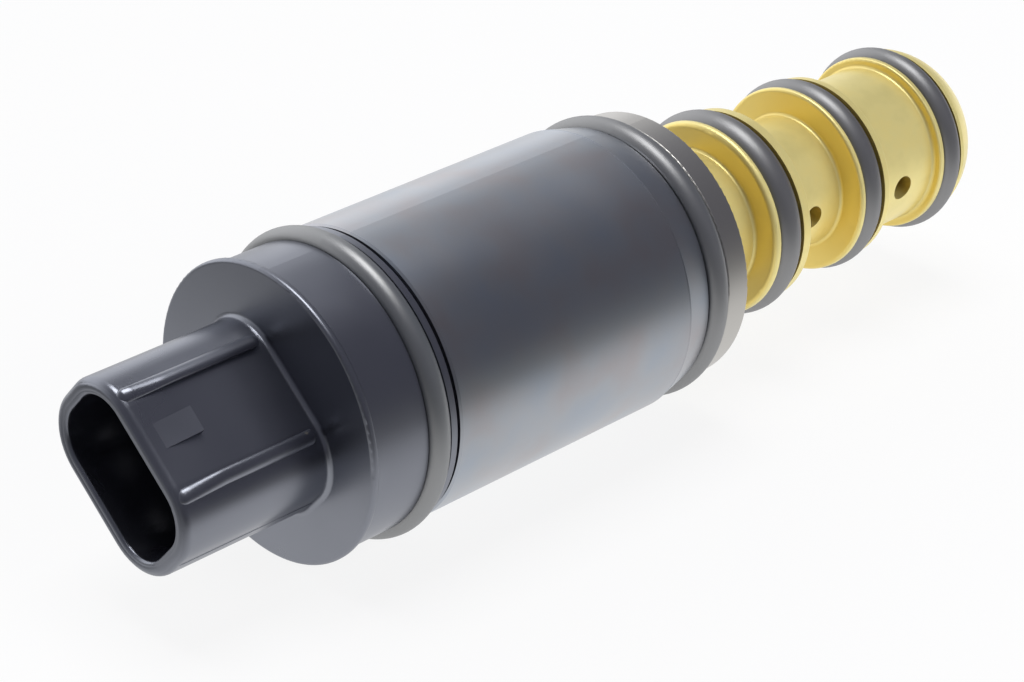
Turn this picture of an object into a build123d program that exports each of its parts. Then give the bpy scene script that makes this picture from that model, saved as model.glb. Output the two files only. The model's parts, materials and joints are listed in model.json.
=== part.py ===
# Compressor control valve: plug-in solenoid in a steel case with a brass valve body.
# Millimetres. X runs along the valve axis towards the brass nose, Z is up, Y is sideways.
# The origin is on the axis, in the middle of the steel flange's rim.
import os
from math import cos, radians, sin

from build123d import *

os.makedirs("parts", exist_ok=True)

# Fits
running_clearance = 0.05
assembly_clearance = 0.02
free_clearance = 0.35
radius_match = 0.001

# Steel case; its front end is closed in to a short cone behind a turned line
case_radius = 11.0
case_wall = 1.3
case_front_x = -3.1
case_edge = 0.15
case_cone_length = 2.53
case_cone_drop = 0.53
case_line_width = 0.14
case_line_depth = 0.07

# Round flange and collar of the plastic housing
flange_rear_x = -36.55
flange_stand = 0.1
flange_thickness = 0.65
flange_edge_radius = 0.28
collar_step = 0.25
rear_groove_x = -31.25
rear_rim_width = 0.53
rear_gap = 0.4
rear_wire = 1.8
rear_ring_stand = 0.5
rear_ring_gap = 0.05
spigot_length = 3.05

# Plug hood and its socket
connector_roll = 48.2
hood_length = 12.45
hood_width = 13.88
hood_height = 9.6
hood_corner_radius = 3.9
hood_wall = 1.18
hood_lip_radius = 0.6
hood_mouth_radius = 0.28
hood_foot_radius = 0.4
socket_depth = 14.4

# Lengthwise ribs on the hood's upper flat, highest at their inner edge
rib_offset = 3.85
rib_width = 0.85
rib_rise = 0.5
rib_low_rise = 0.1
rib_flange_gap = 1.0
rib_mouth_gap = 0.65
rib_ramp = 3.2

# Latch catch between the ribs
catch_offset = 0.45
catch_width = 1.9
catch_start = 1.35
catch_length = 2.9
catch_rise = 0.5
catch_foot = 0.4

# Terminals
terminal_pitch = 4.4
blade_width = 1.5
blade_thickness = 0.64
blade_mouth_gap = 5.0
blade_tip = 0.16
leg_offset = 6.8
bar_thickness = 0.6
bar_web = 0.7
leg_end_gap = 0.05

# Front flange
front_step = 0.55
front_thickness = 2.1
front_edge_radius = 0.12
front_hub_length = 4.64
case_wire = 1.9

# Rear yoke plate
plate_thickness = 1.8
plate_window_width = 7.4
plate_window_height = 1.6

# Coil
bobbin_rear_gap = 0.1
bobbin_tube_wall = 0.7
bobbin_flange_thickness = 0.9
bobbin_side_gap = 0.4
winding_side_gap = 0.6
winding_gap = 0.05

# Plunger sleeve, fixed core and plunger
sleeve_radius = 4.7
sleeve_wall = 0.4
sleeve_rear_x = -31.9
core_rear_x = -17.2
core_bore_clearance = 0.35
plunger_length = 12.8
air_gap = 0.9
spring_pocket_radius = 2.65
plunger_pocket_depth = 3.5
core_pocket_depth = 4.0
plunger_groove_radius = 0.5

# Operating rod and valve head
rod_radius = 1.4
rod_rear_gap = 0.3
stem_radius = 0.8
head_radius = 2.3
head_length = 2.0
head_cone = 0.7
head_cone_radius = 1.2
valve_stroke = 0.7
seated_gap = 0.02

# Valve body outside
neck_radii = (5.6, 5.3, 6.3)
neck_fillet = 0.3
land_edge_radii = (0.45, 0.3, 0.2)
land_radii = (7.75, 7.45, 7.06)
land_starts = (7.25, 17.6, 27.65)
land_ends = (11.3, 21.0, 30.6)
land_end_radius = 0.15
body_groove_starts = (7.8, 18.0, 28.1)
body_wires = (2.4, 2.1, 1.9)
body_ring_stands = (0.44, 0.31, 0.47)
body_ring_gap = 0.12
nose_end_x = 32.6
nose_face_radius = 5.88
nose_bulge = 0.12

# Valve body inside
tail_radius = 5.0
tail_length = 6.2
neck_seat_depth = 1.2
suction_bore_radius = 3.2
suction_bore_end_x = 6.4
chamber_start_x = 11.6
chamber_radius = 3.2
seat_x = 16.2
seat_thickness = 2.2
seat_bore_radius = 1.5
sensing_radius = 4.7
sensing_start_x = 19.2
port_radii = (0.95, 0.92, 1.0)
port_stations = (4.2, 14.4, 24.0)
port_angles = (98.0, 94.5, 96.5)

# Bellows and the end plug
plug_inner_x = 29.0
plug_outer_x = 32.0
plug_edge = 0.3
plug_spigot_radius = 1.6
plug_spigot_length = 1.3
bellows_radius = 4.05
bellows_root_radius = 3.25
bellows_wall = 0.16
bellows_start_x = 21.4
bellows_end_x = 27.2
bellows_waves = 5
stopper_length = 1.8
stopper_collar_radius = 2.4
bellows_spring_wire = 0.45
bellows_spring_radius = 1.95
bellows_spring_turns = 4.0

# Plunger spring
plunger_spring_wire = 0.5
plunger_spring_radius = 2.1
plunger_spring_turns = 4.5

# Seal between the sleeve and the front flange
seal_wire = 1.0
seal_x = -6.6

# Lengths that follow from the values above
flange_radius = case_radius + flange_stand
collar_radius = case_radius - collar_step
rear_rim_radius = case_radius
rear_ring_outer_radius = case_radius + rear_ring_stand
rear_groove_floor = rear_ring_outer_radius - rear_wire
rear_groove_end_x = rear_groove_x + rear_wire + 2 * rear_ring_gap
rear_rim_end_x = rear_groove_end_x + rear_rim_width
case_rear_x = rear_rim_end_x + rear_gap
spigot_end_x = rear_rim_end_x + spigot_length
case_bore = case_radius - case_wall
case_cone_x = case_front_x - case_cone_length
front_radius = case_radius - front_step
case_ring_outer_radius = case_radius
bobbin_flange_radius = case_bore - bobbin_side_gap
winding_radius = case_bore - winding_side_gap
spigot_radius = case_bore - assembly_clearance
mouth_x = flange_rear_x - hood_length
socket_floor_x = mouth_x + socket_depth
hood_flat_y = hood_height / 2
sleeve_bore = sleeve_radius - sleeve_wall
sleeve_seat = sleeve_radius + running_clearance
hub_rear_x = case_front_x - front_hub_length
case_groove_floor = case_ring_outer_radius - case_wire
shoulder_x = front_thickness / 2
rim_rear_x = -front_thickness / 2
case_ring_x = rim_rear_x - running_clearance - case_wire / 2
tail_rear_x = shoulder_x - tail_length
neck_seat_x = shoulder_x - neck_seat_depth
core_front_x = tail_rear_x - assembly_clearance
core_radius = sleeve_bore - assembly_clearance
core_bore = rod_radius + core_bore_clearance
plunger_front_x = core_rear_x - air_gap
plunger_rear_x = plunger_front_x - plunger_length
plunger_radius = sleeve_bore - running_clearance
plate_rear_x = spigot_end_x
plate_front_x = plate_rear_x + plate_thickness
bobbin_rear_x = plate_front_x + bobbin_rear_gap
bobbin_front_x = hub_rear_x - bobbin_rear_gap
bobbin_tube_radius = sleeve_seat + bobbin_tube_wall
winding_rear_x = bobbin_rear_x + bobbin_flange_thickness + winding_gap
winding_front_x = bobbin_front_x - bobbin_flange_thickness - winding_gap
head_face_x = seat_x - seated_gap - valve_stroke
head_rear_x = head_face_x - head_length
guide_bore = rod_radius + running_clearance
stopper_x = bellows_start_x - stopper_length
holder_x = bellows_end_x
holder_length = plug_inner_x - bellows_end_x
body_groove_widths = tuple(wire + 2 * body_ring_gap for wire in body_wires)
body_ring_outer_radii = tuple(radius + stand for radius, stand in zip(land_radii, body_ring_stands))
blade_tip_x = mouth_x + blade_mouth_gap
bar_rear_x = socket_floor_x + bar_web
plunger_seat_x = plunger_front_x - plunger_pocket_depth
core_seat_x = core_rear_x + core_pocket_depth


def hood_plane(x):
    # Plane across the axis, turned with the plug: local X is the hood's long way, local Y its ribbed flat.
    roll = radians(connector_roll)
    return Plane(origin=(x, 0, 0), x_dir=(0, sin(roll), cos(roll)), z_dir=(1, 0, 0))


# Plastic housing: flange, collar with the rear groove, spigot in the case, hood with ribs and catch
flat_normal = hood_plane(0).y_dir
with BuildPart() as connector_housing:
    with BuildSketch(Plane.XZ):
        with BuildLine():
            Polyline(
                (flange_rear_x, 0),
                (flange_rear_x, flange_radius),
                (flange_rear_x + flange_thickness, flange_radius),
                (flange_rear_x + flange_thickness, collar_radius),
                (rear_groove_x, collar_radius),
                (rear_groove_x, rear_groove_floor),
                (rear_groove_end_x, rear_groove_floor),
                (rear_groove_end_x, rear_rim_radius),
                (rear_rim_end_x, rear_rim_radius),
                (rear_rim_end_x, spigot_radius),
                (spigot_end_x, spigot_radius),
                (spigot_end_x, 0),
                close=True,
            )
        make_face()
    revolve(axis=Axis.X)
    flange_rim = connector_housing.edges().filter_by(GeomType.CIRCLE).filter_by(
        lambda edge: abs(edge.radius - flange_radius) < radius_match
    )
    fillet(flange_rim, flange_edge_radius)
    with BuildSketch(hood_plane(mouth_x)):
        RectangleRounded(hood_width, hood_height, hood_corner_radius)
    extrude(amount=hood_length)
    mouth_edges = connector_housing.faces().sort_by(Axis.X)[0].outer_wire().edges()
    fillet(mouth_edges, hood_lip_radius)
    foot_edges = connector_housing.edges().filter_by(
        lambda edge: abs(edge.center().X - flange_rear_x) < radius_match
        and edge.bounding_box().size.X < radius_match
        and (edge @ 0.5 - Vector(flange_rear_x, 0, 0)).length < hood_width / 2 + radius_match
    )
    fillet(foot_edges, hood_foot_radius)
    socket_width = hood_width - 2 * hood_wall
    socket_height = hood_height - 2 * hood_wall
    with BuildSketch(hood_plane(mouth_x)):
        RectangleRounded(socket_width, socket_height, hood_corner_radius - hood_wall)
    extrude(amount=socket_depth, mode=Mode.SUBTRACT)
    socket_edges = connector_housing.faces().sort_by(Axis.X)[0].inner_wires()[0].edges()
    fillet(socket_edges, hood_mouth_radius)
    # Ribs: highest at the inner edge, ending in a point at the mouth and round at the flange
    rib_start = mouth_x + rib_mouth_gap
    rib_end = flange_rear_x - rib_flange_gap
    rib_foot = hood_flat_y - hood_wall / 2
    for side in (-1, 1):
        inner = side * (rib_offset - rib_width / 2)
        outer = side * (rib_offset + rib_width / 2)
        with BuildSketch(hood_plane(rib_start)):
            with BuildLine():
                Polyline(
                    (inner, rib_foot),
                    (inner, hood_flat_y + rib_rise),
                    (outer, hood_flat_y + rib_low_rise),
                    (outer, rib_foot),
                    close=True,
                )
            make_face()
        extrude(amount=rib_end - rib_start)
    rib_end_edges = connector_housing.edges().filter_by(GeomType.LINE).filter_by(
        lambda edge: abs(edge.center().X - rib_end) < radius_match
        and abs(edge.center().dot(flat_normal) - hood_flat_y) < rib_rise
        and abs(edge.tangent_at(0.5).dot(flat_normal)) > 1 - radius_match
    )
    fillet(rib_end_edges, rib_width / 3)
    with BuildSketch(Plane(origin=(0, 0, 0), x_dir=(1, 0, 0), z_dir=-hood_plane(0).x_dir)):
        with BuildLine():
            Polyline(
                (mouth_x, hood_flat_y + rib_width),
                (mouth_x, hood_flat_y),
                (rib_start, hood_flat_y),
                (rib_start + rib_ramp, hood_flat_y + rib_rise),
                (rib_start + rib_ramp, hood_flat_y + rib_width),
                close=True,
            )
        make_face()
    extrude(amount=hood_width, both=True, mode=Mode.SUBTRACT)
    # Catch: a wedge that rises from the mouth and drops square at the flange end
    catch_x = mouth_x + catch_start
    catch_end_x = catch_x + catch_length
    catch_middle = hood_plane(0).x_dir * catch_offset
    with BuildSketch(Plane(origin=catch_middle, x_dir=(1, 0, 0), z_dir=-hood_plane(0).x_dir)):
        with BuildLine():
            Polyline(
                (catch_x, hood_flat_y - catch_foot),
                (catch_x, hood_flat_y),
                (catch_end_x, hood_flat_y + catch_rise),
                (catch_end_x, hood_flat_y - catch_foot),
                close=True,
            )
        make_face()
    extrude(amount=catch_width / 2, both=True)
    # Pocket for the sleeve
    with BuildSketch(Plane.YZ.offset(sleeve_rear_x - free_clearance)):
        Circle(sleeve_seat)
    extrude(amount=spigot_end_x - sleeve_rear_x + free_clearance, mode=Mode.SUBTRACT)
    # Seats of the two terminals
    for side in (-1, 1):
        with BuildSketch(hood_plane(socket_floor_x)):
            with Locations((side * terminal_pitch / 2, 0)):
                Rectangle(blade_width, blade_thickness)
        extrude(amount=bar_web + bar_thickness, mode=Mode.SUBTRACT)
        with BuildSketch(hood_plane(bar_rear_x)):
            with Locations((side * terminal_pitch / 2, -leg_offset / 2)):
                Rectangle(blade_width, leg_offset + blade_thickness)
        extrude(amount=bar_thickness, mode=Mode.SUBTRACT)
        with BuildSketch(hood_plane(bar_rear_x)):
            with Locations((side * terminal_pitch / 2, -leg_offset)):
                Rectangle(blade_width, blade_thickness)
        extrude(amount=spigot_end_x - bar_rear_x, mode=Mode.SUBTRACT)
connector_housing.part.label = "connector_housing"
export_step(connector_housing.part, "parts/connector_housing.step")


# Terminals: a blade in the socket, a bar past the sleeve's end and a leg to the coil
for number, side in ((1, -1), (2, 1)):
    with BuildPart() as terminal:
        with BuildSketch(hood_plane(blade_tip_x)):
            with Locations((side * terminal_pitch / 2, 0)):
                Rectangle(blade_width, blade_thickness)
        extrude(amount=bar_rear_x + bar_thickness - blade_tip_x)
        tip_edges = terminal.faces().sort_by(Axis.X)[0].edges()
        chamfer(tip_edges, blade_tip)
        with BuildSketch(hood_plane(bar_rear_x)):
            with Locations((side * terminal_pitch / 2, -leg_offset / 2)):
                Rectangle(blade_width, leg_offset + blade_thickness)
        extrude(amount=bar_thickness)
        with BuildSketch(hood_plane(bar_rear_x)):
            with Locations((side * terminal_pitch / 2, -leg_offset)):
                Rectangle(blade_width, blade_thickness)
        extrude(amount=bobbin_rear_x - leg_end_gap - bar_rear_x)
    terminal.part.label = "terminal_" + str(number)
    export_step(terminal.part, "parts/terminal_" + str(number) + ".step")


# O-ring behind the collar
with BuildPart() as rear_oring:
    with BuildSketch(Plane.XZ):
        with Locations(((rear_groove_x + rear_groove_end_x) / 2, rear_ring_outer_radius - rear_wire / 2)):
            Circle(rear_wire / 2)
    revolve(axis=Axis.X)
rear_oring.part.label = "rear_oring"
export_step(rear_oring.part, "parts/rear_oring.step")


# Steel case around the coil, with the turned line and the closed-in front end
with BuildPart() as case:
    case_tip_radius = case_radius - case_cone_drop
    with BuildSketch(Plane.XZ):
        with BuildLine():
            Polyline(
                (case_rear_x, case_bore),
                (case_rear_x, case_radius - case_edge),
                (case_rear_x + case_edge, case_radius),
                (case_cone_x - case_line_width, case_radius),
                (case_cone_x - case_line_width / 2, case_radius - case_line_depth),
                (case_cone_x, case_radius),
                (case_front_x - case_edge, case_tip_radius),
                (case_front_x, case_tip_radius - case_edge),
                (case_front_x, case_bore),
                close=True,
            )
        make_face()
    revolve(axis=Axis.X)
case.part.label = "case"
export_step(case.part, "parts/case.step")


# Rear yoke plate with a window for the terminal legs
with BuildPart() as rear_plate:
    with BuildSketch(Plane.YZ.offset(plate_rear_x)):
        Circle(case_bore - assembly_clearance)
        Circle(sleeve_seat, mode=Mode.SUBTRACT)
    extrude(amount=plate_thickness)
    with BuildSketch(hood_plane(plate_rear_x)):
        with Locations((0, -leg_offset)):
            Rectangle(plate_window_width, plate_window_height)
    extrude(amount=plate_thickness, mode=Mode.SUBTRACT)
rear_plate.part.label = "rear_plate"
export_step(rear_plate.part, "parts/rear_plate.step")


# Coil bobbin
with BuildPart() as coil_bobbin:
    with BuildSketch(Plane.XZ):
        with BuildLine():
            Polyline(
                (bobbin_rear_x, sleeve_seat),
                (bobbin_rear_x, bobbin_flange_radius),
                (bobbin_rear_x + bobbin_flange_thickness, bobbin_flange_radius),
                (bobbin_rear_x + bobbin_flange_thickness, bobbin_tube_radius),
                (bobbin_front_x - bobbin_flange_thickness, bobbin_tube_radius),
                (bobbin_front_x - bobbin_flange_thickness, bobbin_flange_radius),
                (bobbin_front_x, bobbin_flange_radius),
                (bobbin_front_x, sleeve_seat),
                close=True,
            )
        make_face()
    revolve(axis=Axis.X)
coil_bobbin.part.label = "coil_bobbin"
export_step(coil_bobbin.part, "parts/coil_bobbin.step")


# Coil winding
with BuildPart() as coil_winding:
    with BuildSketch(Plane.YZ.offset(winding_rear_x)):
        Circle(winding_radius)
        Circle(bobbin_tube_radius + winding_gap, mode=Mode.SUBTRACT)
    extrude(amount=winding_front_x - winding_rear_x)
coil_winding.part.label = "coil_winding"
export_step(coil_winding.part, "parts/coil_winding.step")


# Plunger sleeve: a thin cup, open at the front
with BuildPart() as plunger_sleeve:
    with BuildSketch(Plane.YZ.offset(sleeve_rear_x)):
        Circle(sleeve_radius)
    extrude(amount=core_front_x - sleeve_rear_x)
    with BuildSketch(Plane.YZ.offset(sleeve_rear_x + sleeve_wall)):
        Circle(sleeve_bore)
    extrude(amount=core_front_x - sleeve_rear_x - sleeve_wall, mode=Mode.SUBTRACT)
plunger_sleeve.part.label = "plunger_sleeve"
export_step(plunger_sleeve.part, "parts/plunger_sleeve.step")


# Fixed core in the sleeve, with the spring's pocket
with BuildPart() as fixed_core:
    with BuildSketch(Plane.YZ.offset(core_rear_x)):
        Circle(core_radius)
        Circle(core_bore, mode=Mode.SUBTRACT)
    extrude(amount=core_front_x - core_rear_x)
    with BuildSketch(Plane.YZ.offset(core_rear_x)):
        Circle(spring_pocket_radius)
    extrude(amount=core_pocket_depth, mode=Mode.SUBTRACT)
fixed_core.part.label = "fixed_core"
export_step(fixed_core.part, "parts/fixed_core.step")


# Front flange: rim, ring groove behind it and the hub that the case is closed on
with BuildPart() as front_flange:
    hub_radius = case_bore - assembly_clearance
    seal_groove_radius = sleeve_seat + seal_wire
    with BuildSketch(Plane.XZ):
        with BuildLine():
            Polyline(
                (hub_rear_x, sleeve_seat),
                (hub_rear_x, hub_radius),
                (case_front_x, hub_radius),
                (case_front_x, case_groove_floor),
                (rim_rear_x, case_groove_floor),
                (rim_rear_x, front_radius),
                (shoulder_x, front_radius),
                (shoulder_x, neck_radii[0] + assembly_clearance),
                (neck_seat_x, neck_radii[0] + assembly_clearance),
                (neck_seat_x, tail_radius + assembly_clearance),
                (tail_rear_x, tail_radius + assembly_clearance),
                (tail_rear_x, sleeve_seat),
                close=True,
            )
        make_face()
    revolve(axis=Axis.X)
    with BuildSketch(Plane.YZ.offset(seal_x - seal_wire / 2 - running_clearance)):
        Circle(seal_groove_radius)
    extrude(amount=seal_wire + 2 * running_clearance, mode=Mode.SUBTRACT)
    rim_edges = front_flange.edges().filter_by(GeomType.CIRCLE).filter_by(
        lambda edge: abs(edge.radius - front_radius) < radius_match
    )
    fillet(rim_edges, front_edge_radius)
front_flange.part.label = "front_flange"
export_step(front_flange.part, "parts/front_flange.step")


# O-ring between the case and the front flange
with BuildPart() as case_oring:
    with BuildSketch(Plane.XZ):
        with Locations((case_ring_x, case_groove_floor + case_wire / 2)):
            Circle(case_wire / 2)
    revolve(axis=Axis.X)
case_oring.part.label = "case_oring"
export_step(case_oring.part, "parts/case_oring.step")


# Seal ring around the sleeve's front end
with BuildPart() as sleeve_seal:
    with BuildSketch(Plane.XZ):
        with Locations((seal_x, sleeve_radius + running_clearance / 2 + seal_wire / 2)):
            Circle(seal_wire / 2)
    revolve(axis=Axis.X)
sleeve_seal.part.label = "sleeve_seal"
export_step(sleeve_seal.part, "parts/sleeve_seal.step")


# Brass valve body: three grooved lands, three necks, stepped bore and cross-drilled ports
with BuildPart() as valve_body:
    with BuildSketch(Plane.YZ.offset(tail_rear_x)):
        Circle(tail_radius)
    extrude(amount=tail_length)
    neck_starts = (neck_seat_x, *land_ends[:2])
    for start, end, radius in zip(neck_starts, land_starts, neck_radii):
        with BuildSketch(Plane.YZ.offset(start)):
            Circle(radius)
        extrude(amount=end - start)
    for start, end, radius in zip(land_starts, land_ends, land_radii):
        with BuildSketch(Plane.YZ.offset(start)):
            Circle(radius)
        extrude(amount=end - start)
    body_circles = valve_body.edges().filter_by(GeomType.CIRCLE)
    neck_corners = body_circles.filter_by(
        lambda edge: any(abs(edge.radius - radius) < radius_match for radius in neck_radii)
        and edge.center().X > shoulder_x
    )
    fillet(neck_corners, neck_fillet)
    for station, radius, rounding in zip(land_starts, land_radii, land_edge_radii):
        land_edges = valve_body.edges().filter_by(GeomType.CIRCLE).filter_by(
            lambda edge: abs(edge.radius - radius) < radius_match
            and abs(edge.center().X - station) < radius_match
        )
        fillet(land_edges, rounding)
    for station, radius in zip(land_ends[:2], land_radii):
        land_end_edges = valve_body.edges().filter_by(GeomType.CIRCLE).filter_by(
            lambda edge: abs(edge.radius - radius) < radius_match
            and abs(edge.center().X - station) < radius_match
        )
        fillet(land_end_edges, land_end_radius)
    # Domed nose
    nose_start = (land_ends[2], land_radii[2])
    nose_edge = (nose_end_x, nose_face_radius)
    with BuildSketch(Plane.XZ):
        with BuildLine():
            Line((land_ends[2], 0), nose_start)
            SagittaArc(nose_start, nose_edge, nose_bulge)
            Line(nose_edge, (nose_end_x, 0))
            Line((nose_end_x, 0), (land_ends[2], 0))
        make_face()
    revolve(axis=Axis.X)
    # Ring grooves
    for start, width, outer, wire in zip(
        body_groove_starts, body_groove_widths, body_ring_outer_radii, body_wires
    ):
        with BuildSketch(Plane.YZ.offset(start)):
            Circle(outer + wire)
            Circle(outer - wire, mode=Mode.SUBTRACT)
        extrude(amount=width, mode=Mode.SUBTRACT)
    # Stepped bore
    for start, end, radius in (
        (tail_rear_x, suction_bore_end_x, suction_bore_radius),
        (suction_bore_end_x, chamber_start_x, guide_bore),
        (chamber_start_x, sensing_start_x, chamber_radius),
        (sensing_start_x, nose_end_x, sensing_radius),
    ):
        with BuildSketch(Plane.YZ.offset(start)):
            Circle(radius)
        extrude(amount=end - start, mode=Mode.SUBTRACT)
    # Ports, drilled straight across
    for station, angle, radius, neck in zip(port_stations, port_angles, port_radii, neck_radii):
        turn = radians(angle)
        with BuildSketch(Plane(origin=(station, 0, 0), x_dir=(1, 0, 0), z_dir=(0, -sin(turn), cos(turn)))):
            Circle(radius)
        extrude(amount=neck + neck_fillet, both=True, mode=Mode.SUBTRACT)
valve_body.part.label = "valve_body"
export_step(valve_body.part, "parts/valve_body.step")


# O-rings on the three lands
for number, start, width, outer, wire in zip(
    (1, 2, 3), body_groove_starts, body_groove_widths, body_ring_outer_radii, body_wires
):
    with BuildPart() as body_oring:
        with BuildSketch(Plane.XZ):
            with Locations((start + width / 2, outer - wire / 2)):
                Circle(wire / 2)
        revolve(axis=Axis.X)
    body_oring.part.label = "body_oring_" + str(number)
    export_step(body_oring.part, "parts/body_oring_" + str(number) + ".step")


# Valve seat pressed into the valve chamber
with BuildPart() as valve_seat:
    with BuildSketch(Plane.YZ.offset(seat_x)):
        Circle(chamber_radius)
        Circle(seat_bore_radius, mode=Mode.SUBTRACT)
    extrude(amount=seat_thickness)
valve_seat.part.label = "valve_seat"
export_step(valve_seat.part, "parts/valve_seat.step")


# Plunger with the rod's hole, the spring's pocket and a flow groove
with BuildPart() as plunger:
    with BuildSketch(Plane.YZ.offset(plunger_rear_x)):
        Circle(plunger_radius)
        Circle(rod_radius, mode=Mode.SUBTRACT)
        with Locations((0, plunger_radius)):
            Circle(plunger_groove_radius, mode=Mode.SUBTRACT)
    extrude(amount=plunger_length)
    with BuildSketch(Plane.YZ.offset(plunger_seat_x)):
        Circle(spring_pocket_radius)
    extrude(amount=plunger_pocket_depth, mode=Mode.SUBTRACT)
plunger.part.label = "plunger"
export_step(plunger.part, "parts/plunger.step")


# Operating rod: shaft, valve head with a cone and the thin stem through the seat
with BuildPart() as operating_rod:
    with BuildSketch(Plane.XZ):
        with BuildLine():
            Polyline(
                (plunger_rear_x + rod_rear_gap, 0),
                (plunger_rear_x + rod_rear_gap, rod_radius),
                (head_rear_x, rod_radius),
                (head_rear_x, head_radius),
                (head_face_x - head_cone, head_radius),
                (head_face_x, head_cone_radius),
                (head_face_x, stem_radius),
                (stopper_x, stem_radius),
                (stopper_x, 0),
                close=True,
            )
        make_face()
    revolve(axis=Axis.X)
operating_rod.part.label = "operating_rod"
export_step(operating_rod.part, "parts/operating_rod.step")


# Plunger spring
with BuildPart() as plunger_spring:
    spring_start = plunger_seat_x + plunger_spring_wire / 2
    spring_length = core_seat_x - plunger_seat_x - plunger_spring_wire
    with BuildLine():
        coil_path = Helix(
            pitch=spring_length / plunger_spring_turns,
            height=spring_length,
            radius=plunger_spring_radius,
            center=(spring_start, 0, 0),
            direction=(1, 0, 0),
        )
    with BuildSketch(Plane(origin=coil_path @ 0, z_dir=coil_path % 0)):
        Circle(plunger_spring_wire / 2)
    sweep(is_frenet=True)
plunger_spring.part.label = "plunger_spring"
export_step(plunger_spring.part, "parts/plunger_spring.step")


# End plug that holds the bellows and closes the nose
with BuildPart() as end_plug:
    with BuildSketch(Plane.XZ):
        with BuildLine():
            Polyline(
                (plug_inner_x, 0),
                (plug_inner_x, sensing_radius),
                (plug_outer_x - plug_edge, sensing_radius),
                (plug_outer_x, sensing_radius - plug_edge),
                (plug_outer_x, 0),
                close=True,
            )
        make_face()
    revolve(axis=Axis.X)
end_plug.part.label = "end_plug"
export_step(end_plug.part, "parts/end_plug.step")


# Bellows holder on the end plug, with a pin that centres the inner spring
with BuildPart() as bellows_holder:
    with BuildSketch(Plane.YZ.offset(holder_x)):
        Circle(bellows_root_radius)
    extrude(amount=holder_length)
    with BuildSketch(Plane.YZ.offset(holder_x - plug_spigot_length)):
        Circle(plug_spigot_radius - free_clearance)
    extrude(amount=plug_spigot_length)
bellows_holder.part.label = "bellows_holder"
export_step(bellows_holder.part, "parts/bellows_holder.step")


# Bellows: a thin wall with round-topped waves
with BuildPart() as bellows:
    wave_length = (bellows_end_x - bellows_start_x) / bellows_waves
    outer_points = []
    for wave in range(bellows_waves):
        start = bellows_start_x + wave * wave_length
        outer_points.append((start, bellows_root_radius))
        outer_points.append((start + wave_length / 4, bellows_radius))
        outer_points.append((start + wave_length * 3 / 4, bellows_radius))
    outer_points.append((bellows_end_x, bellows_root_radius))
    inner_points = [(x, radius - bellows_wall) for x, radius in reversed(outer_points)]
    with BuildSketch(Plane.XZ):
        with BuildLine():
            Polyline(*outer_points, *inner_points, close=True)
        make_face()
    revolve(axis=Axis.X)
bellows.part.label = "bellows"
export_step(bellows.part, "parts/bellows.step")


# Bellows stopper at the rod's end
with BuildPart() as bellows_stopper:
    with BuildSketch(Plane.YZ.offset(stopper_x)):
        Circle(stopper_collar_radius)
    extrude(amount=stopper_length / 2)
    with BuildSketch(Plane.YZ.offset(stopper_x + stopper_length / 2)):
        Circle(bellows_root_radius)
    extrude(amount=stopper_length / 2)
bellows_stopper.part.label = "bellows_stopper"
export_step(bellows_stopper.part, "parts/bellows_stopper.step")


# Spring inside the bellows
with BuildPart() as bellows_spring:
    inner_start = bellows_start_x + bellows_spring_wire / 2
    inner_length = bellows_end_x - bellows_start_x - bellows_spring_wire
    with BuildLine():
        inner_path = Helix(
            pitch=inner_length / bellows_spring_turns,
            height=inner_length,
            radius=bellows_spring_radius,
            center=(inner_start, 0, 0),
            direction=(1, 0, 0),
        )
    with BuildSketch(Plane(origin=inner_path @ 0, z_dir=inner_path % 0)):
        Circle(bellows_spring_wire / 2)
    sweep(is_frenet=True)
bellows_spring.part.label = "bellows_spring"
export_step(bellows_spring.part, "parts/bellows_spring.step")
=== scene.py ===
# Compressor control valve: finishes, fine moulding marks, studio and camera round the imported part.
import json
from math import pi, radians

import bpy
from mathutils import Matrix, Vector


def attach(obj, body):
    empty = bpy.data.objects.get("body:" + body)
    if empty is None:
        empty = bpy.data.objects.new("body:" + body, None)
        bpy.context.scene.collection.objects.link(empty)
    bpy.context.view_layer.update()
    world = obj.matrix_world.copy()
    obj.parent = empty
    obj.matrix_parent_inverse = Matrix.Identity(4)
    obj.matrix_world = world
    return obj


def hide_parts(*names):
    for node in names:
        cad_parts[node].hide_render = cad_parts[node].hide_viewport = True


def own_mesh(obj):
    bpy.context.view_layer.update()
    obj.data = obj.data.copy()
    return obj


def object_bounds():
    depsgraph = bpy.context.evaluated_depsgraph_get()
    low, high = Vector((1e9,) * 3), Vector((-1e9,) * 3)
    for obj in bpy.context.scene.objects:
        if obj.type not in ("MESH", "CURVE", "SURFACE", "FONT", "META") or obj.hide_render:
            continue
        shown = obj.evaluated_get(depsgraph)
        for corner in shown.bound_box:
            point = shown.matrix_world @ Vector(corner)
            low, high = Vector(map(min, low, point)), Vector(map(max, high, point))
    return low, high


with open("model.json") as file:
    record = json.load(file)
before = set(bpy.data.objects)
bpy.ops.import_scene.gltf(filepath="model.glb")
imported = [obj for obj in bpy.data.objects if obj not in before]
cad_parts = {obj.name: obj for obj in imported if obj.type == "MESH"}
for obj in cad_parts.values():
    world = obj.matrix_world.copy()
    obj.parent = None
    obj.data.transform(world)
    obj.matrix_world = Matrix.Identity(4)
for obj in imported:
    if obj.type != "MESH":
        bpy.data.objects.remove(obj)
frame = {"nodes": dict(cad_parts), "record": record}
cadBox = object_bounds()
parts = frame["nodes"]
bpy.ops.object.select_all(action="DESELECT")
print("frame loaded,", len(parts), "pieces")


# Shader helpers. Noise scales and rings are per metre, because materials read Object coordinates.
bumpDepth = 0.00002
noiseSpan = (0.3, 0.7)  # most of a noise's values lie between these
speckCore = 0.6  # the share of a speck's radius that has its full colour


def newFinish(slotName):
    material = bpy.data.materials.new(slotName)
    material.use_nodes = True
    return material, material.node_tree.nodes["Principled BSDF"]


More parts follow.
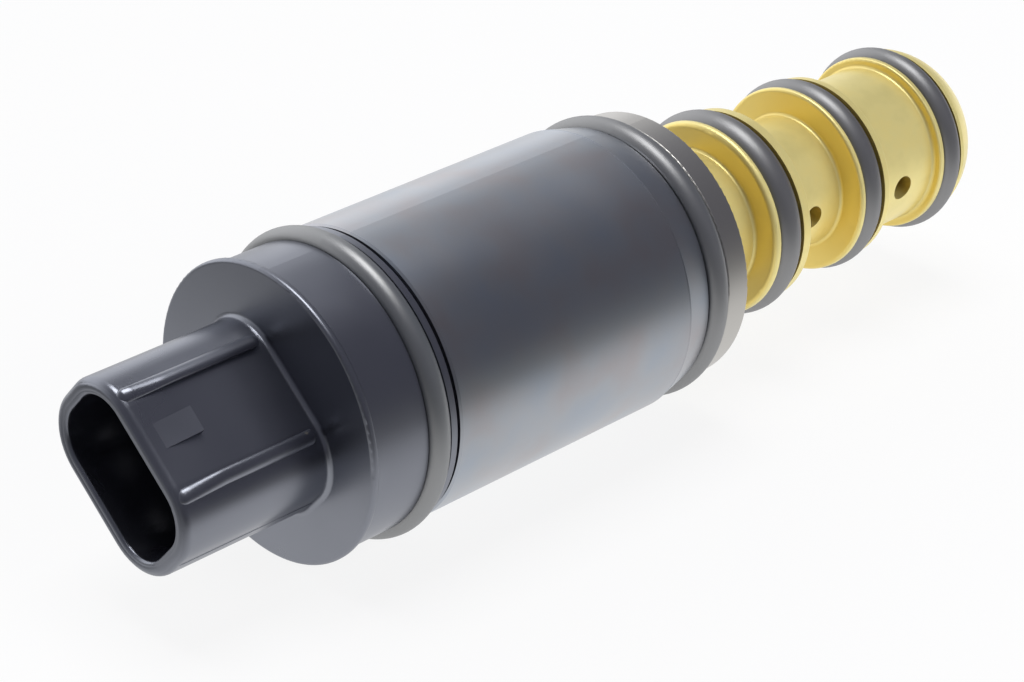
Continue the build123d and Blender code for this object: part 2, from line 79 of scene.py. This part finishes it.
def addNode(material, kind, settings=None, sockets=None):
    node = material.node_tree.nodes.new(kind)
    for name, value in (settings or {}).items():
        setattr(node, name, value)
    for name, value in (sockets or {}).items():
        node.inputs[name].default_value = value
    return node


def join(material, outSocket, inSocket):
    material.node_tree.links.new(outSocket, inSocket)


def joinOrSet(material, value, socket):
    if isinstance(value, bpy.types.NodeSocket):
        join(material, value, socket)
    elif isinstance(value, tuple):
        socket.default_value = (*value, 1)
    else:
        socket.default_value = value


def setShader(shader, look):
    shader.inputs["Base Color"].default_value = (*look["color"], 1)
    shader.inputs["Metallic"].default_value = look["metallic"]
    shader.inputs["Roughness"].default_value = look["roughness"]
    shader.inputs["IOR"].default_value = look.get("ior", 1.5)


def surfacePoint(material, scale=(1, 1, 1), move=(0, 0, 0)):
    coordinates = addNode(material, "ShaderNodeTexCoord")
    mapping = addNode(material, "ShaderNodeMapping", sockets={"Scale": scale, "Location": move})
    join(material, coordinates.outputs["Object"], mapping.inputs["Vector"])
    return mapping.outputs["Vector"]


def splitPoint(material, vector):
    split = addNode(material, "ShaderNodeSeparateXYZ")
    join(material, vector, split.inputs["Vector"])
    return split.outputs


def noiseOn(material, vector, scale, detail=2.0, roughness=0.5):
    sockets = {"Scale": scale, "Detail": detail, "Roughness": roughness}
    noise = addNode(material, "ShaderNodeTexNoise", sockets=sockets)
    join(material, vector, noise.inputs["Vector"])
    return noise.outputs["Fac"]


def rampOver(material, value, stops):
    ramp = addNode(material, "ShaderNodeValToRGB")
    elements = ramp.color_ramp.elements
    while len(elements) < len(stops):
        elements.new(0.5)
    for element, (position, color) in zip(elements, stops):
        element.position = position
        element.color = (*color, 1)
    join(material, value, ramp.inputs["Fac"])
    return ramp.outputs["Color"]


def rangeOver(material, value, low, high, newLow, newHigh):
    sockets = {"From Min": low, "From Max": high, "To Min": newLow, "To Max": newHigh}
    mapRange = addNode(material, "ShaderNodeMapRange", {"clamp": True}, sockets)
    join(material, value, mapRange.inputs["Value"])
    return mapRange.outputs["Result"]


def mathNode(material, operation, first, second):
    node = addNode(material, "ShaderNodeMath", {"operation": operation})
    joinOrSet(material, first, node.inputs[0])
    joinOrSet(material, second, node.inputs[1])
    return node.outputs["Value"]


def mixColors(material, factor, first, second):
    mix = addNode(material, "ShaderNodeMix", {"data_type": "RGBA"})
    for value, name in ((factor, "Factor_Float"), (first, "A_Color"), (second, "B_Color")):
        joinOrSet(material, value, next(s for s in mix.inputs if s.identifier == name))
    return next(s for s in mix.outputs if s.identifier == "Result_Color")


def bumpFrom(material, shader, heights, strength):
    bump = addNode(material, "ShaderNodeBump", sockets={"Strength": strength, "Distance": bumpDepth})
    join(material, heights, bump.inputs["Height"])
    join(material, bump.outputs["Normal"], shader.inputs["Normal"])


# Turning rings run round the valve's axis: fine along it, wide round it
ringLook = {"round": 60, "detail": 3.0, "roughness": 0.6}


def turningRings(material, ringsPerMetre):
    stretched = surfacePoint(material, (ringsPerMetre, ringLook["round"], ringLook["round"]))
    return noiseOn(material, stretched, 1.0, ringLook["detail"], ringLook["roughness"])


def turnedGrain(material, shader, amount):
    tangent = addNode(material, "ShaderNodeTangent", {"direction_type": "RADIAL", "axis": "X"})
    join(material, tangent.outputs["Tangent"], shader.inputs["Tangent"])
    shader.inputs["Anisotropic"].default_value = amount


def specksOn(material, look):
    # a few round specks, one at most in each cell
    cells = addNode(material, "ShaderNodeTexVoronoi", sockets={"Scale": look["speckCells"]})
    join(material, surfacePoint(material), cells.inputs["Vector"])
    size = look["speckSize"]
    near = rangeOver(material, cells.outputs["Distance"], size * speckCore, size, 1, 0)
    pick = addNode(material, "ShaderNodeSeparateColor")
    join(material, cells.outputs["Color"], pick.inputs["Color"])
    chosen = mathNode(material, "LESS_THAN", pick.outputs["Red"], look["speckShare"])
    return mathNode(material, "MULTIPLY", near, chosen)


# Finishes, one for each slot
plasticLook = {
    "color": (0.009, 0.009, 0.014), "metallic": 0, "roughness": 0.30, "ior": 3.0,
    "reflectionBlueCast": (0.84, 0.88, 1.0),
    "patchScale": 140, "smoothest": 0.26, "roughest": 0.36,
    "grainScale": 900, "grainBump": 0.10,
    "speck": (0.10, 0.09, 0.07), "speckCells": 420, "speckSize": 0.06, "speckShare": 0.05,
}


def blackPlastic():
    look = plasticLook
    material, shader = newFinish("black_plastic")
    setShader(shader, look)
    # painted reflection colour: the plastic's reflections are tinted blue, standing in for a bluish room
    shader.inputs["Specular Tint"].default_value = (*look["reflectionBlueCast"], 1)
    patches = noiseOn(material, surfacePoint(material), look["patchScale"])
    rough = rangeOver(material, patches, *noiseSpan, look["smoothest"], look["roughest"])
    join(material, rough, shader.inputs["Roughness"])
    color = mixColors(material, specksOn(material, look), look["color"], look["speck"])
    join(material, color, shader.inputs["Base Color"])
    grain = noiseOn(material, surfacePoint(material), look["grainScale"])
    bumpFrom(material, shader, grain, look["grainBump"])
    return material


caseLook = {
    "color": (0.385, 0.402, 0.435), "metallic": 1, "roughness": 0.33,
    "cloudScale": 230, "cloudDetail": 3.0, "cloudRoughness": 0.5,
    "first": (0.28, (0.36, 0.395, 0.45)), "middle": 0.50, "last": (0.72, (0.392, 0.378, 0.395)),
    "patchScale": 90, "patchMove": (0.02, 0, 0), "smoothest": 0.31, "roughest": 0.38,
    "rings": 3500, "ringBump": 0.10,
    "speck": (0.7, 0.68, 0.6), "speckCells": 230, "speckSize": 0.035, "speckShare": 0.06,
}


def cloudedColor(material, look):
    # from the first tone through the plain colour to the last
    clouds = noiseOn(material, surfacePoint(material), look["cloudScale"],
                     look["cloudDetail"], look["cloudRoughness"])
    return rampOver(material, clouds, (look["first"], (look["middle"], look["color"]), look["last"]))


def blackOxideSteel():
    look = caseLook
    material, shader = newFinish("black_oxide_steel")
    setShader(shader, look)
    color = cloudedColor(material, look)
    speckled = mixColors(material, specksOn(material, look), color, look["speck"])
    join(material, speckled, shader.inputs["Base Color"])
    patches = noiseOn(material, surfacePoint(material, move=look["patchMove"]), look["patchScale"])
    rough = rangeOver(material, patches, *noiseSpan, look["smoothest"], look["roughest"])
    join(material, rough, shader.inputs["Roughness"])
    bumpFrom(material, shader, turningRings(material, look["rings"]), look["ringBump"])
    return material


turnedLook = {"color": (0.52, 0.505, 0.48), "metallic": 1, "roughness": 0.36,
              "grain": 0.4, "rings": 5000, "ringBump": 0.15}


def turnedSteel():
    look = turnedLook
    material, shader = newFinish("turned_steel")
    setShader(shader, look)
    turnedGrain(material, shader, look["grain"])
    bumpFrom(material, shader, turningRings(material, look["rings"]), look["ringBump"])
    return material


brassLook = {
    "color": (0.88, 0.76, 0.32), "metallic": 0.5, "roughness": 0.38,
    "cloudScale": 260, "cloudDetail": 3.0, "cloudRoughness": 0.6,
    "first": (0.30, (0.80, 0.69, 0.28)), "middle": 0.52, "last": (0.72, (0.91, 0.76, 0.29)),
    # painted shade: the deeper colour given to brass walls that face the plug
    "wall": (0.85, 0.66, 0.20), "wallMetallic": 0.85, "wallFacing": (-0.95, -0.5),
    "grain": 0.6, "rings": 6000, "ringBump": 0.25,
}


def turnedBrass():
    look = brassLook
    material, shader = newFinish("brass")
    setShader(shader, look)
    facing = splitPoint(material, addNode(material, "ShaderNodeNewGeometry").outputs["Normal"])
    # painted shade: walls square to the axis that face the plug get a deeper colour and more metal than the
    # necks, standing in for light reflected back and forth between the brass walls
    wall = rangeOver(material, facing["X"], *look["wallFacing"], 1, 0)
    color = mixColors(material, wall, cloudedColor(material, look), look["wall"])
    join(material, color, shader.inputs["Base Color"])
    metallic = rangeOver(material, wall, 0, 1, look["metallic"], look["wallMetallic"])
    join(material, metallic, shader.inputs["Metallic"])
    turnedGrain(material, shader, look["grain"])
    bumpFrom(material, shader, turningRings(material, look["rings"]), look["ringBump"])
    return material


rubberLooks = {
    "grey_rubber": {"color": (0.040, 0.046, 0.054), "metallic": 0, "roughness": 0.42, "ior": 3.0},
    "blue_black_rubber": {"color": (0.042, 0.045, 0.052), "metallic": 0, "roughness": 0.44, "ior": 3.0},
    "black_rubber": {"color": (0.045, 0.045, 0.050), "metallic": 0, "roughness": 0.46, "ior": 3.0},
}
rubberGrain = {"scale": 2600, "detail": 3.0, "bump": 0.10}

plainLooks = {
    "tinned_brass": {"color": (0.72, 0.70, 0.66), "metallic": 1, "roughness": 0.3},
    "bare_steel": {"color": (0.52, 0.52, 0.51), "metallic": 1, "roughness": 0.35},
    "natural_plastic": {"color": (0.62, 0.58, 0.48), "metallic": 0, "roughness": 0.45},
    "copper_wire": {"color": (0.72, 0.36, 0.20), "metallic": 1, "roughness": 0.35},
    "stainless_steel": {"color": (0.62, 0.62, 0.61), "metallic": 1, "roughness": 0.25},
    "spring_steel": {"color": (0.50, 0.50, 0.50), "metallic": 1, "roughness": 0.3},
    "bronze_leaf": {"color": (0.70, 0.50, 0.28), "metallic": 1, "roughness": 0.35},
}
plainGrain = {"scale": 1500, "detail": 2.0, "bump": 0.05}


def grainedFinish(slotName, look, grain):
    material, shader = newFinish(slotName)
    setShader(shader, look)
    heights = noiseOn(material, surfacePoint(material), grain["scale"], grain["detail"])
    bumpFrom(material, shader, heights, grain["bump"])
    return material


finishes = {"black_plastic": blackPlastic(), "black_oxide_steel": blackOxideSteel(),
            "turned_steel": turnedSteel(), "brass": turnedBrass()}
for slotName, look in rubberLooks.items():
    finishes[slotName] = grainedFinish(slotName, look, rubberGrain)
for slotName, look in plainLooks.items():
    finishes[slotName] = grainedFinish(slotName, look, plainGrain)

for subpart in frame["record"]["subparts"]:
    part = parts[subpart["node"]]
    part.data.materials.clear()
    part.data.materials.append(finishes[subpart["material_slot"]])
print("finishes set,", len(finishes), "slots")


# Modelling helpers
def pickOnly(piece):
    bpy.ops.object.select_all(action="DESELECT")
    piece.select_set(True)
    bpy.context.view_layer.objects.active = piece


def fixPlace():
    bpy.ops.object.transform_apply(location=True, rotation=True, scale=True)


def pointFacesOut():
    bpy.ops.object.mode_set(mode="EDIT")
    bpy.ops.mesh.select_all(action="SELECT")
    bpy.ops.mesh.normals_make_consistent(inside=False)
    bpy.ops.object.mode_set(mode="OBJECT")


# Round ridges on the plug hood, laid along X and then turned with the hood.
# Each step of the nose has its length, how far down it goes, and its scale.
hoodTurn = radians(41.8)
ribLook = {
    "name": "hood_rib_crest", "across": 0.00380, "height": 0.004980, "radius": 0.00056,
    "flatness": 0.59, "tilt": radians(-25.2), "sides": 28, "from": -0.04515, "to": -0.0378,
    "ramp": 0.0032, "drop": 0.00035, "spread": 0.00005, "steps": 5,
    "nose": ((0.00020, 0.00007, 0.86), (0.00016, 0.00011, 0.70), (0.00010, 0.00010, 0.45)),
}
seamLook = {
    "name": "hood_parting_line", "across": 0.006925, "height": 0.0, "radius": 0.00005,
    "flatness": 1.0, "tilt": 0.0, "sides": 10, "from": -0.0478, "to": -0.0370,
    "ramp": 0.0004, "drop": 0.0, "spread": 0.0, "steps": 1,
    "nose": ((0.0002, 0.0, 0.6),),
}
# at the flange end, each step's length as a share of the radius, and its scale
roundEnd = ((0.38, 0.92), (0.30, 0.80), (0.20, 0.58))
endFacing = 0.9
ridgeSmoothAngle = radians(50)


def pickFaces(piece, rule):
    bpy.ops.object.mode_set(mode="EDIT")
    bpy.ops.mesh.select_mode(type="FACE")
    bpy.ops.mesh.select_all(action="DESELECT")
    bpy.ops.object.mode_set(mode="OBJECT")
    for face in piece.data.polygons:
        face.select = rule(face)
    bpy.ops.object.mode_set(mode="EDIT")


def pullEnd(piece, shift, scale, turn=0.0):
    bpy.ops.mesh.extrude_region_move(TRANSFORM_OT_translate={"value": shift})
    bpy.ops.object.mode_set(mode="OBJECT")
    middle = next(face.center for face in piece.data.polygons if face.select)
    bpy.ops.object.mode_set(mode="EDIT")
    bpy.ops.transform.resize(value=(1, scale, scale), center_override=middle)
    if turn:
        bpy.ops.transform.rotate(value=turn, orient_axis="X", center_override=middle)


def ridgeBar(look):
    # an elliptical bar on the hood's +Y side
    length = look["to"] - look["from"]
    bpy.ops.object.select_all(action="DESELECT")
    bpy.ops.mesh.primitive_cylinder_add(vertices=look["sides"], radius=look["radius"], depth=length,
                                        rotation=(0, pi / 2, 0))
    ridge = bpy.context.object
    ridge.name = look["name"] + "_1"
    ridge.scale = (look["flatness"], 1, 1)
    fixPlace()
    ridge.rotation_euler.x = look["tilt"]
    ridge.location = (look["from"] + length / 2, look["across"], look["height"])
    fixPlace()
    return ridge


def shapeRidgeEnds(ridge, look):
    # the flange end is rounded off
    pickFaces(ridge, lambda face: face.normal.x > endFacing)
    for share, scale in roundEnd:
        pullEnd(ridge, (look["radius"] * share, 0, 0), scale)
    # the mouth end runs down into the wall and turns level on the way
    pickFaces(ridge, lambda face: face.normal.x < -endFacing)
    steps = look["steps"]
    shift = (-look["ramp"] / steps, look["spread"] / steps, -look["drop"] / steps)
    for _ in range(steps):
        pullEnd(ridge, shift, 1.0, look["tilt"] / steps)
    for along, down, scale in look["nose"]:
        pullEnd(ridge, (-along, 0, -down), scale)
    bpy.ops.object.mode_set(mode="OBJECT")


def hoodRidge(look):
    ridge = ridgeBar(look)
    shapeRidgeEnds(ridge, look)
    bpy.ops.object.duplicate()
    other = bpy.context.object
    other.name = look["name"] + "_2"
    other.scale.y = -1
    for piece in (ridge, other):
        pickOnly(piece)
        fixPlace()
        piece.rotation_euler.x = hoodTurn
        fixPlace()
        pointFacesOut()
        bpy.ops.object.shade_smooth_by_angle(angle=ridgeSmoothAngle)
        piece.data.materials.append(finishes["black_plastic"])
        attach(piece, "housing")


hoodRidge(ribLook)
hoodRidge(seamLook)
print("hood ridges made")


# Rounded lip round the hood's mouth: a rounded rectangle, swept with a round bead
lipLook = {"x": -0.0486, "width": 0.0127, "height": 0.0084, "corner": 0.0034, "cornerSteps": 12,
           "bead": 0.00046, "beadSteps": 5}


def hoodLip():
    look = lipLook
    bpy.ops.object.select_all(action="DESELECT")
    bpy.ops.mesh.primitive_plane_add(size=1, location=(0, 0, 0))
    lip = bpy.context.object
    lip.name = "hood_lip"
    lip.scale = (look["height"], look["width"], 1)
    fixPlace()
    bpy.ops.object.mode_set(mode="EDIT")
    bpy.ops.mesh.select_all(action="SELECT")
    bpy.ops.mesh.bevel(offset=look["corner"], segments=look["cornerSteps"], affect="VERTICES")
    bpy.ops.mesh.delete(type="ONLY_FACE")
    bpy.ops.object.mode_set(mode="OBJECT")
    bpy.ops.object.convert(target="CURVE")
    lip.data.bevel_depth = look["bead"]
    lip.data.bevel_resolution = look["beadSteps"]
    bpy.ops.object.convert(target="MESH")
    # the plane's X becomes the hood's short way
    lip.rotation_euler = (0, -pi / 2, 0)
    fixPlace()
    lip.location.x = look["x"]
    lip.rotation_euler.x = hoodTurn
    fixPlace()
    pointFacesOut()
    bpy.ops.object.shade_smooth()
    lip.data.materials.append(finishes["black_plastic"])
    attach(lip, "housing")


hoodLip()
print("hood lip made")


# Springs and bellows: each is swapped for a merged, smooth-shaded copy on the housing; the table gives each
# one's fixed end and length
shorteningLooks = {
    "plunger_spring": {"fixedX": -0.0132, "length": 0.0084},
    "bellows": {"fixedX": 0.0272, "length": 0.0058},
    "bellows_spring": {"fixedX": 0.0272, "length": 0.0058},
}
mergeDistance = 0.000001
shorteningSmoothAngle = radians(40)


def shorteningPiece(nodeName):
    piece = parts[nodeName].copy()
    piece.data = parts[nodeName].data.copy()
    piece.name = nodeName + "_shortening"
    bpy.context.scene.collection.objects.link(piece)
    pickOnly(piece)
    # a CAD mesh is loose triangles, so its copy is merged before it is shaded smooth
    bpy.ops.object.mode_set(mode="EDIT")
    bpy.ops.mesh.select_all(action="SELECT")
    bpy.ops.mesh.remove_doubles(threshold=mergeDistance)
    bpy.ops.object.mode_set(mode="OBJECT")
    bpy.ops.object.shade_smooth_by_angle(angle=shorteningSmoothAngle)
    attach(piece, "housing")
    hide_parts(nodeName)
    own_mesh(piece)


for nodeName, look in shorteningLooks.items():
    shorteningPiece(nodeName)


# Floor: pale to the eye, bright in reflections, with the valve's shadow kept
floorLook = {
    "size": 4.0, "color": (0.86, 0.86, 0.87), "roughness": 0.9, "glow": 0.86,
    "nearGlow": 0.25, "nearFrom": -0.055, "nearTo": -0.02,
    "endGlow": 0.3, "endFrom": -0.072, "endTo": -0.044,
}


def floorGlow(material, eye):
    # full to the eye; the near side and the end before the plug are dimmer in reflections: painted shade on
    # the floor that only reflections show
    look = floorLook
    place = splitPoint(material, surfacePoint(material))
    near = rangeOver(material, place["Y"], look["nearFrom"], look["nearTo"], look["nearGlow"], 1)
    end = rangeOver(material, place["X"], look["endFrom"], look["endTo"], look["endGlow"], 1)
    fade = mathNode(material, "MULTIPLY", near, end)
    glow = addNode(material, "ShaderNodeEmission", sockets={"Color": (1, 1, 1, 1)})
    join(material, mathNode(material, "MAXIMUM", eye, fade), glow.inputs["Strength"])
    return glow.outputs["Emission"]


def paleFloor():
    look = floorLook
    low = cadBox[0]
    bpy.ops.mesh.primitive_plane_add(size=look["size"], location=(0, 0, low[2]))
    floor = bpy.context.object
    floor.name = "studio_floor"
    material, shader = newFinish("pale_floor")
    shader.inputs["Base Color"].default_value = (*look["color"], 1)
    shader.inputs["Roughness"].default_value = look["roughness"]
    shader.inputs["Specular IOR Level"].default_value = 0
    rays = addNode(material, "ShaderNodeLightPath").outputs
    eye = rays["Is Camera Ray"]
    mirrored = mathNode(material, "MAXIMUM", rays["Is Glossy Ray"], rays["Is Transmission Ray"])
    seen = mathNode(material, "MULTIPLY", eye, look["glow"])
    mix = addNode(material, "ShaderNodeMixShader")
    join(material, mathNode(material, "MAXIMUM", seen, mirrored), mix.inputs["Fac"])
    join(material, shader.outputs["BSDF"], mix.inputs[1])
    join(material, floorGlow(material, eye), mix.inputs[2])
    surface = material.node_tree.nodes["Material Output"].inputs["Surface"]
    join(material, mix.outputs["Shader"], surface)
    floor.data.materials.append(material)


paleFloor()


# Soft studio light: a softbox above, a fill that leaves no glare, and a room that is bright on its far side
softboxes = {
    "overhead_softbox": {"at": (0.0, 0.05, 0.60), "size": 0.36, "power": 2.1, "glare": True},
    "side_fill": {"at": (0.16, -0.45, 0.15), "size": 0.40, "power": 1.75, "glare": False},
}
# each step: how far across the room from its near side, and the tone there
roomLook = {
    "strength": 1.5,
    "steps": (
        (0.0, (0.095, 0.095, 0.112)),
        (0.33, (0.104, 0.105, 0.122)),
        (0.5, (0.118, 0.119, 0.138)),
        (0.6, (0.142, 0.144, 0.164)),
        (0.715, (0.235, 0.24, 0.258)),
        (0.815, (0.50, 0.505, 0.52)),
        (0.885, (0.96, 0.965, 0.98)),
        (1.0, (1.08, 1.085, 1.1)),
    ),
}


def softLamps():
    for name, look in softboxes.items():
        data = bpy.data.lights.new(name, "AREA")
        data.size = look["size"]
        data.energy = look["power"]
        light = bpy.data.objects.new(name, data)
        light.location = look["at"]
        light.rotation_euler = (-Vector(look["at"])).to_track_quat("-Z", "Y").to_euler()
        light.visible_glossy = look["glare"]
        bpy.context.scene.collection.objects.link(light)


def paleRoom():
    world = bpy.data.worlds.new("room")
    world.use_nodes = True
    way = splitPoint(world, addNode(world, "ShaderNodeTexCoord").outputs["Generated"])
    across = rangeOver(world, way["Y"], -1, 1, 0, 1)
    background = world.node_tree.nodes["Background"]
    join(world, rampOver(world, across, roomLook["steps"]), background.inputs["Color"])
    background.inputs["Strength"].default_value = roomLook["strength"]
    bpy.context.scene.world = world


softLamps()
paleRoom()
bpy.context.scene.view_settings.view_transform = "Standard"
print("floor and lamps set")


# Camera, where the photograph was taken from, in metres; its lens and sensor in millimetres
cameraView = {
    "at": (-0.155100, -0.145325, 0.104310),
    "right": (0.71485, -0.69928, 0.0),
    "up": (0.32658, 0.33385, 0.88424),
    "ahead": (0.61833, 0.63210, -0.46703),
    "lens": 110.5, "sensor": 36, "nearest": 0.005, "farthest": 20,
}


def setCamera():
    look = cameraView
    data = bpy.data.cameras.new("camera")
    data.lens = look["lens"]
    data.sensor_width = look["sensor"]
    data.sensor_fit = "HORIZONTAL"
    data.clip_start = look["nearest"]
    data.clip_end = look["farthest"]
    camera = bpy.data.objects.new("camera", data)
    bpy.context.scene.collection.objects.link(camera)
    turn = Matrix((look["right"], look["up"], [-a for a in look["ahead"]])).transposed()
    camera.matrix_world = Matrix.Translation(look["at"]) @ turn.to_4x4()
    bpy.context.scene.camera = camera


setCamera()
print("camera set")
